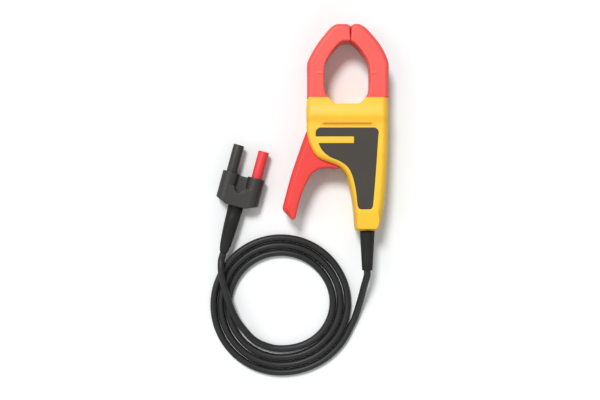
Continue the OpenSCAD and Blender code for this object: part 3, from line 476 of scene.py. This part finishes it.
def add_turned(work, profile, place, sides=48):
    """Adds to a bmesh the (distance along Y, radius) points spun round the Y axis of a place."""
    angles = [2 * math.pi * k / sides for k in range(sides)]
    rings = []
    for s, radius in profile:
        ring = [Vector((radius * math.cos(a), s, radius * math.sin(a))) for a in angles]
        rings.append([work.verts.new(place @ (point * MM)) for point in ring])
    for low, high in zip(rings, rings[1:]):
        for k in range(sides):
            j = (k + 1) % sides
            work.faces.new((low[k], low[j], high[j], high[k]))


def turned_piece(name, profile, place):
    work = bmesh.new()
    add_turned(work, profile, place)
    mesh = mesh_from(work, name)
    mesh.shade_smooth()
    return link_piece(name, mesh)


def rounded(corners, reach, steps=4):
    """A profile with each inner corner replaced by a short curve."""
    points = [Vector(c) for c in corners]
    path = [points[0]]
    for before, corner, after in zip(points, points[1:], points[2:]):
        back = before - corner
        ahead = after - corner
        a = corner + back.normalized() * min(reach, back.length * CORNER_SHARE)
        b = corner + ahead.normalized() * min(reach, ahead.length * CORNER_SHARE)
        for k in range(steps + 1):
            t = k / steps
            path.append(a * (1 - t) ** 2 + corner * (2 * t * (1 - t)) + b * t**2)
    path.append(points[-1])
    return [tuple(p) for p in path]


# Cord: out of the strain relief, round the flat coil and over it to the plug

CORD_D = 5.1
CORD_R = CORD_D / 2
CORD_X, CORD_Z = 14.5, 14.0
CORD_BEVEL_STEPS = 6
RELIEF_END_Y = -102.0
FLOOR_Z = CORD_R
OVER_GAP = 0.5
OVER_Z = 1.5 * CORD_D + OVER_GAP
PATH_STEPS = 3
# Coil: its angles are degrees turned from its lowest point
COIL_AT = (-49.0, -128.7)
COIL_R = 50.2
COIL_GAP = 0.46
COIL_PITCH = CORD_D + COIL_GAP
COIL_FROM, COIL_TO = -60, 1080
COIL_PAST, COIL_STEP = 12, 6
STEP_FROM = 250
END_EASE, EASE_TURN = 1.0, 60
# Plug: its middle, its turn, and where its boot starts and ends along it
PLUG_AT = (-78.8, -41.7)
PLUG_TURN = math.radians(-15.1)
PLUG_Z = 6.5
BODY_BACK = -13.8
BOOT_LEN = 36.0
BOOT_END = BODY_BACK - BOOT_LEN


def step01(t):
    t = min(max(t, 0.0), 1.0)
    return t * t * (3 - 2 * t)


def coil_point(turned, z=FLOOR_Z):
    """Point of the flat coil: round for most of a turn, then a step in by one pitch."""
    turn, rest = divmod(turned, 360)
    stepped = turn + step01((rest - STEP_FROM) / (360 - STEP_FROM))
    eased = step01((turned - COIL_TO + EASE_TURN) / EASE_TURN)
    radius = COIL_R - COIL_PITCH * stepped - END_EASE * eased
    angle = math.radians(-90 - turned)
    return (COIL_AT[0] + radius * math.cos(angle), COIL_AT[1] + radius * math.sin(angle), z)


def plug_point(s):
    return (PLUG_AT[0] - s * math.sin(PLUG_TURN), PLUG_AT[1] + s * math.cos(PLUG_TURN), PLUG_Z)


def smooth_path(points):
    """Points on the smooth curve through a list of points."""
    points = [Vector(p) for p in points]
    final = len(points) - 1
    path = []
    for i in range(final):
        a, b, c, d = (points[min(max(i + k, 0), final)] for k in (-1, 0, 1, 2))
        for j in range(PATH_STEPS):
            t = j / PATH_STEPS
            bend = (2 * a - 5 * b + 4 * c - d) * t**2 + (3 * b - a - 3 * c + d) * t**3
            path.append(0.5 * (2 * b + (c - a) * t + bend))
    return path + [points[-1]]


def cord_route():
    """The cord's middle line: down to the floor, round the coil, and over it to the boot."""
    lead_in = [
        (CORD_X, RELIEF_END_Y, CORD_Z),
        (CORD_X, RELIEF_END_Y - 1.5, CORD_Z),
        (CORD_X, RELIEF_END_Y - 3, CORD_Z),
        (CORD_X - 0.6, RELIEF_END_Y - 6, 13.4),
        (CORD_X - 1.4, RELIEF_END_Y - 9, 12.4),
        (CORD_X - 2.4, RELIEF_END_Y - 13, 10.8),
        (CORD_X - 3.4, RELIEF_END_Y - 18, 8.6),
        (CORD_X - 4.6, RELIEF_END_Y - 23, 6.5),
        (CORD_X - 5.9, RELIEF_END_Y - 28, 4.7),
        (CORD_X - 7.3, RELIEF_END_Y - 33, FLOOR_Z + 0.7),
        (CORD_X - 9.1, RELIEF_END_Y - 38, FLOOR_Z + 0.1),
    ]
    turns = range(COIL_FROM - COIL_PAST, COIL_TO + COIL_PAST + 1, COIL_STEP)
    coil = [coil_point(turned) for turned in turns]
    lead_out = [
        coil_point(COIL_TO + 27, FLOOR_Z + 0.9),
        coil_point(COIL_TO + 42, FLOOR_Z + 2.9),
        coil_point(COIL_TO + 57, OVER_Z - 1),
        (COIL_AT[0] - 31.6, COIL_AT[1] - 11.9, OVER_Z),
        (COIL_AT[0] - 34.8, COIL_AT[1] - 6.3, OVER_Z),
        (COIL_AT[0] - 38.2, COIL_AT[1] + 1.7, OVER_Z),
        (COIL_AT[0] - 41.2, COIL_AT[1] + 11.7, OVER_Z),
        (COIL_AT[0] - 43.6, COIL_AT[1] + 21.7, OVER_Z),
        (COIL_AT[0] - 44.3, COIL_AT[1] + 28.7, OVER_Z - 0.5),
        plug_point(BOOT_END - 5.2),
        plug_point(BOOT_END - 2.6),
        plug_point(BOOT_END),
    ]
    return smooth_path(lead_in + coil + lead_out)


def add_cord(material, pieces_on_it):
    route = cord_route()
    curve = bpy.data.curves.new("cord", "CURVE")
    curve.dimensions = "3D"
    curve.bevel_depth = CORD_R * MM
    curve.bevel_resolution = CORD_BEVEL_STEPS
    curve.use_fill_caps = True
    spline = curve.splines.new("POLY")
    spline.points.add(len(route) - 1)
    for point, place in zip(spline.points, route):
        point.co = (*(place * MM), 1.0)
    spline.use_smooth = True
    cord = dress(link_piece("cord", curve), material, "cord_coil", "cord_lead_in", "cord_lead_out")


# Plug: shrouds and boot are turned about axes that run along the plug

PLUG_PITCH = 19.05
SHROUD_FROM, SHROUD_TO, SHROUD_R, SHROUD_WALL = 2.0, 30.6, 4.0, 1.0
SHROUD_EDGE = 0.35
# Wall of the boot round the cord at shares of its length, and the room left at its two ends
BOOT_WALLS = [(0.0, 3.1), (0.45, 2.6), (0.80, 1.7), (1.0, 0.35)]
BOOT_FRONT_ROOM, BOOT_TIP_ROOM = 0.02, 0.06
BOOT_CURVE = 4.0


def along_plug(across):
    """Place of a plug axis: +Y out of the plug's front, across it by a distance from the middle."""
    at = Matrix.Translation(Vector((PLUG_AT[0], PLUG_AT[1], PLUG_Z)) * MM)
    aside = Matrix.Translation(Vector((across, 0, 0)) * MM)
    return at @ Matrix.Rotation(PLUG_TURN, 4, "Z") @ aside


def add_shroud(name, node, side, material):
    """Insulating sleeve round a contact, open at its mouth."""
    inside = SHROUD_R - SHROUD_WALL
    seam = (SHROUD_FROM + 1, inside)
    corners = [
        seam,
        (SHROUD_FROM, inside),
        (SHROUD_FROM, SHROUD_R),
        (SHROUD_TO, SHROUD_R),
        (SHROUD_TO, inside),
        seam,
    ]
    place = along_plug(side * PLUG_PITCH / 2)
    piece = turned_piece(name, rounded(corners, SHROUD_EDGE), place)
    return dress(piece, material, node)


def add_boot(material):
    """Boot of the plug: tapers slowly from the body, and faster where it ends round the cord."""
    front = BODY_BACK - BOOT_FRONT_ROOM
    tip = BOOT_END + BOOT_TIP_ROOM
    corners = [
        (min(max(BODY_BACK - share * BOOT_LEN, tip), front), CORD_R + wall)
        for share, wall in BOOT_WALLS
    ]
    curved = rounded(corners + [(tip, 0.0)], BOOT_CURVE, steps=8)
    piece = turned_piece("plug_boot_sleeve", [(front, 0.0)] + curved, along_plug(0))
    return dress(piece, material, "plug_boot")


def add_plug(materials):
    black = materials["black_plastic"]
    return [
        remould("plug_body_moulding", "plug_body", black, voxel=0.3, soften=10),
        add_boot(materials["black_rubber"]),
        add_shroud("black_shroud", "plug_shroud_black", -1, black),
        add_shroud("red_shroud", "plug_shroud_red", 1, materials["red_plug"]),
        frame["nodes"]["plug_contact_black"],
        frame["nodes"]["plug_contact_red"],
    ]


# Strain relief at the lower end of the handle

HANDLE_END_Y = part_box("front_housing")[0].y / MM
WALL = 2.2
FLANGE_GAP = 0.3
FLANGE_THICK = 2.3
FLANGE_TO = WALL + FLANGE_GAP + FLANGE_THICK
RELIEF_ROOM = 0.05
RELIEF_TIP_ROOM = 0.1
RELIEF_EDGE = 0.6
# Walls of the sleeve round the cord
NECK_WALL, FLANGE_WALL, ROOT_WALL, TIP_WALL = 1.5, 2.4, 2.95, 1.3


def add_strain_relief(material):
    """Smooth tapering sleeve with a neck in the handle's end and a flange behind its wall."""
    root = HANDLE_END_Y - RELIEF_ROOM
    tip = RELIEF_END_Y + RELIEF_TIP_ROOM
    flange_from = HANDLE_END_Y + WALL + FLANGE_GAP
    flange_to = HANDLE_END_Y + FLANGE_TO
    bore = CORD_R + RELIEF_ROOM
    corners = [
        (flange_to, bore),
        (flange_to, CORD_R + FLANGE_WALL),
        (flange_from, CORD_R + FLANGE_WALL),
        (flange_from, CORD_R + NECK_WALL),
        (root, CORD_R + NECK_WALL),
        (root, CORD_R + ROOT_WALL),
        (tip, CORD_R + TIP_WALL),
        (tip, bore),
        (flange_to, bore),
    ]
    place = Matrix.Translation(Vector((CORD_X, 0, CORD_Z)) * MM)
    piece = turned_piece("strain_relief_sleeve", rounded(corners, RELIEF_EDGE), place)
    dress(piece, material, "strain_relief")


# Housing screws with a cross recess in each head, seen from the rear

SCREW_AT = [(20.5, -3.0), (13.0, -24.4), (9.4, -53.5)]
SCREW_HEAD_R, SCREW_R = 2.7, 1.5
SCREW_HEAD_Z, SCREW_SHANK_Z, SCREW_TIP_Z = 0.4, 2.6, 21.5
SCREW_POINT = 1.2
SCREW_SIDES = 32
SCREW_EDGE, SCREW_EDGE_DEGREES = 0.08, 30
# Crown of the head: heights above its face, with their radii
SCREW_CROWN = [(0.0, 0.0), (0.05, 1.5), (0.35, 2.35), (0.9, SCREW_HEAD_R)]
CROSS_HALF, CROSS_SLOT, CROSS_DEEP, CROSS_TAPER = 1.5, 0.35, 1.1, 0.7
CROSS_OUT = 0.5


def cross_mesh():
    """Tapered cross-shaped plugs, one for each housing screw."""
    arm = [(CROSS_HALF, -CROSS_SLOT), (CROSS_HALF, CROSS_SLOT), (CROSS_SLOT, CROSS_SLOT)]
    turns = [Matrix.Rotation(quarter * math.pi / 2, 2) for quarter in range(4)]
    outline = [turn @ Vector(corner) for turn in turns for corner in arm]
    ends = [(SCREW_HEAD_Z - CROSS_OUT, 1.0), (SCREW_HEAD_Z + CROSS_DEEP, CROSS_TAPER)]
    work = bmesh.new()
    for x, y in SCREW_AT:
        rings = []
        for z, taper in ends:
            ring = [Vector((x + taper * p.x, y + taper * p.y, z)) for p in outline]
            rings.append([work.verts.new(p * MM) for p in ring])
        low, high = rings
        for k in range(len(outline)):
            work.faces.new((low[k - 1], low[k], high[k], high[k - 1]))
        work.faces.new(list(reversed(low)))
        work.faces.new(high)
    return mesh_from(work, "cross_cutter")


def add_housing_screws(material):
    crown = [(SCREW_HEAD_Z + up, radius) for up, radius in SCREW_CROWN]
    shank = [
        (SCREW_SHANK_Z, SCREW_HEAD_R),
        (SCREW_SHANK_Z, SCREW_R),
        (SCREW_TIP_Z - SCREW_POINT, SCREW_R),
        (SCREW_TIP_Z, 0.0),
    ]
    upright = Matrix.Rotation(math.pi / 2, 4, "X")
    work = bmesh.new()
    for x, y in SCREW_AT:
        place = Matrix.Translation(Vector((x, y, 0)) * MM) @ upright
        add_turned(work, crown + shank, place, SCREW_SIDES)
    piece = link_piece("housing_screw_set", mesh_from(work, "housing_screw_set"))
    cutter = link_piece("cross_cutter", cross_mesh())
    cut = piece.modifiers.new("cross", "BOOLEAN")
    cut.operation = "DIFFERENCE"
    cut.solver = "EXACT"
    cut.object = cutter
    break_edges(piece, SCREW_EDGE, SCREW_EDGE_DEGREES)
    apply_modifiers(piece, smooth=False)
    bpy.data.objects.remove(cutter)
    dress(piece, material, "housing_screws")


# Return spring


def add_spring(material):
    """A smooth-shaded copy of the CAD spring, in its place, with its own material."""
    piece = link_piece("return_spring_wire", frame["nodes"]["return_spring"].data.copy())
    piece.data.shade_smooth()
    coat(piece, material)
    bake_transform(piece)
    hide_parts("return_spring")


# CAD nodes that keep their shape

KEPT_EDGE, KEPT_EDGE_DEGREES = 0.12, 40


def keep_node(node, material):
    """Gives a CAD node slightly broken edges and a new material."""
    piece = frame["nodes"][node]
    coat(piece, material)
    weld(piece)
    break_edges(piece, KEPT_EDGE, KEPT_EDGE_DEGREES)


# Floor and light

FLOOR_HALF = 3000.0
FLOOR_BELOW = 0.05
FLOOR_BOUNCE = (0.18, 0.18, 0.18, 1.0)
PAPER_PER_MM = 0.004
PAPER_DARK, PAPER_LIGHT = (0.960, 0.975, 0.98, 1.0), (0.968, 0.985, 0.99, 1.0)
# Lamps: the direction they shine from, their strength, and how wide they are in degrees
LAMPS = {
    "key": ((-0.28, 0.60, 1.0), 2.22, 17.0),
    "fill": ((-1.0, 0.0, 1.0), 0.42, 40.0),
    "side": ((0.5, -1.0, 0.6), 0.42, 60.0),
}
SKY_COLOUR = (1.0, 1.0, 1.0, 1.0)
SKY_STRENGTH = 0.33


def backdrop_rays(tree):
    """1 for the rays that show the backdrop, 0 for those that gather its light."""
    path = tree.nodes.new("ShaderNodeLightPath").outputs
    seen = add_math(tree, "MAXIMUM", path["Is Camera Ray"], path["Is Glossy Ray"])
    return add_math(tree, "MAXIMUM", seen, path["Is Transmission Ray"])


def add_floor():
    """Paper that the camera and mirror-like faces see as white, but dull in its own light."""
    corners = [(-1, -1, 0), (1, -1, 0), (1, 1, 0), (-1, 1, 0)]
    mesh = bpy.data.meshes.new("floor")
    mesh.from_pydata([Vector(c) * FLOOR_HALF * MM for c in corners], [], [(0, 1, 2, 3)])
    floor = link_piece("floor", mesh)
    floor.location.z = -FLOOR_BELOW * MM
    shader = Shader("floor_paper")
    cloud = shader.noise(PAPER_PER_MM, detail=2.0)
    paper = shader.ramp(cloud, low=0.3, dark=PAPER_DARK, high=0.7, light=PAPER_LIGHT)
    others = add_math(shader.tree, "SUBTRACT", 1.0, backdrop_rays(shader.tree))
    tone = shader.blend(others, paper, FLOOR_BOUNCE)
    shader.paint(tone, shader.level(cloud, low=0.85, high=0.95))
    shader.set(Specular_IOR_Level=0.0)
    mesh.materials.append(shader.material)


def add_sun(name, seen_from, strength, angle):
    data = bpy.data.lights.new(name, "SUN")
    data.energy = strength
    data.angle = math.radians(angle)
    lamp = link_piece(name, data)
    lamp.rotation_euler = Vector(seen_from).to_track_quat("Z", "Y").to_euler()


def add_light():
    """Soft key from behind, weak lamps from the left and the front, a sky that shows as white."""
    for name, lamp in LAMPS.items():
        add_sun(name, *lamp)
    world = bpy.data.worlds.new("studio")
    world.use_nodes = True
    tree = world.node_tree
    sky = tree.nodes["Background"]
    sky.inputs["Color"].default_value = SKY_COLOUR
    shown = backdrop_rays(tree)
    level = add_math(tree, "MULTIPLY_ADD", shown, 1.0 - SKY_STRENGTH, SKY_STRENGTH)
    tree.links.new(level, sky.inputs["Strength"])
    bpy.context.scene.world = world


# The object

# Pieces made anew from a CAD node: name, node, material, and how finely they are made
MOULDINGS = [
    ("front_cover", "front_housing", "yellow_front", {"voxel": 0.35, "soften": 5, "keep": 0.25}),
    ("rear_cover", "rear_housing", "yellow_shell", {"voxel": 0.45, "soften": 8}),
    ("fixed_jaw_front_moulding", "fixed_jaw_front", "red_jaw", {"voxel": 0.35}),
    ("fixed_jaw_rear_moulding", "fixed_jaw_rear", "red_jaw", {"voxel": 0.35}),
    ("moving_jaw_front_moulding", "moving_jaw_front", "red_jaw", {"voxel": 0.35}),
    ("moving_jaw_rear_moulding", "moving_jaw_rear", "red_jaw", {"voxel": 0.35}),
    ("trigger_moulding", "trigger", "red_trigger", {"voxel": 0.4, "soften": 8}),
]

materials = make_materials()
add_camera()
add_cord(materials["cord_jacket"], add_plug(materials))
add_strain_relief(materials["black_rubber"])
for piece_name, node_name, look, fineness in MOULDINGS:
    remould(piece_name, node_name, materials[look], **fineness)
add_housing_screws(materials["steel"])
add_spring(materials[SLOT_OF["return_spring"]])
for node_name, node in frame["nodes"].items():
    if not node.hide_render:
        keep_node(node_name, materials[SLOT_OF[node_name]])

add_floor()
add_light()
bpy.context.scene.view_settings.view_transform = "Standard"
